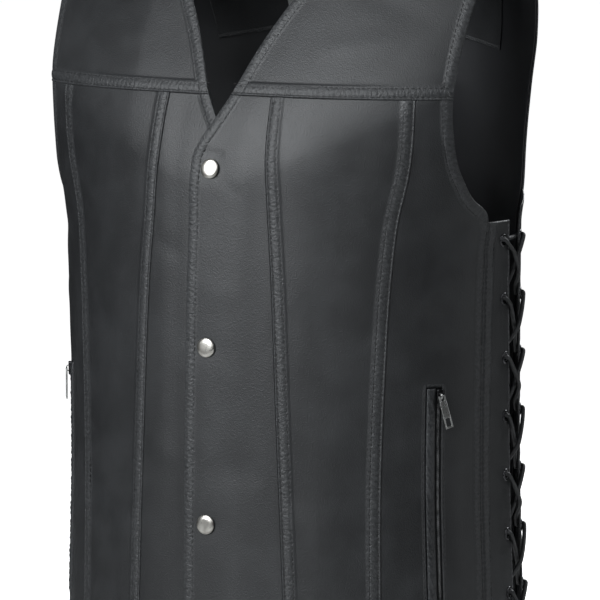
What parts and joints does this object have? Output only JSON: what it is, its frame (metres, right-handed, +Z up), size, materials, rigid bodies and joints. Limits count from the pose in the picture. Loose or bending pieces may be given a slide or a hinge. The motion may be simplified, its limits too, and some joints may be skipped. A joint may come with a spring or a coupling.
{
  "type": "leather vest",
  "caption": "Men's V-neck vest in black leather with a snap front, yoked and panelled fronts, zipped side pockets and laced sides, filled out as when worn.",
  "frame": {"origin": "between the two shoulder seams, halfway along their length and at their mean height, where the wearer's shoulders hold the vest up", "axes": "+Z up along the body, -Y out of the vest's front, +X towards the wearer's left"},
  "size_m": [0.3888, 0.2853, 0.7003],
  "materials": {
    "leather": "fine grain, semi-matte black",
    "thong": "black leather lace",
    "lining": "black satin lining",
    "zip_tape": "black woven tape",
    "woven": "plain grey woven patch",
    "steel": "brushed silver"
  },
  "bodies": {
    "vest": {"front_centre_left": "leather", "front_middle_left": "leather", "front_side_left": "leather", "yoke_left": "leather", "lace_strip_front_left": "leather", "lace_strip_back_left": "leather", "pocket_welt_left": "leather", "lace_left": "thong", "zip_tape_left": "zip_tape", "zip_slider_left": "steel", "front_centre_right": "leather", "front_middle_right": "leather", "front_side_right": "leather", "yoke_right": "leather", "lace_strip_front_right": "leather", "lace_strip_back_right": "leather", "pocket_welt_right": "leather", "lace_right": "thong", "zip_tape_right": "zip_tape", "zip_slider_right": "steel", "back_panel": "leather", "back_lining": "lining", "neck_facing": "leather", "neck_patch": "woven", "snap_cap_1": "steel", "snap_cap_2": "steel", "snap_cap_3": "steel", "snap_cap_4": "steel"},
    "pull_left": {"zip_pull_left": "steel"},
    "pull_right": {"zip_pull_right": "steel"}
  },
  "joints": [
    {"name": "pull_swing_left", "type": "hinge", "parent": "vest", "child": "pull_left", "pos_m": [0.16653, -0.0693, -0.36905], "axis": [-0.561, -0.7745, -0.2923], "range_deg": [0, 150]},
    {"name": "pull_swing_right", "type": "hinge", "parent": "vest", "child": "pull_right", "pos_m": [-0.16653, -0.0693, -0.36905], "axis": [-0.561, 0.7745, 0.2923], "range_deg": [0, 150]}
  ]
}
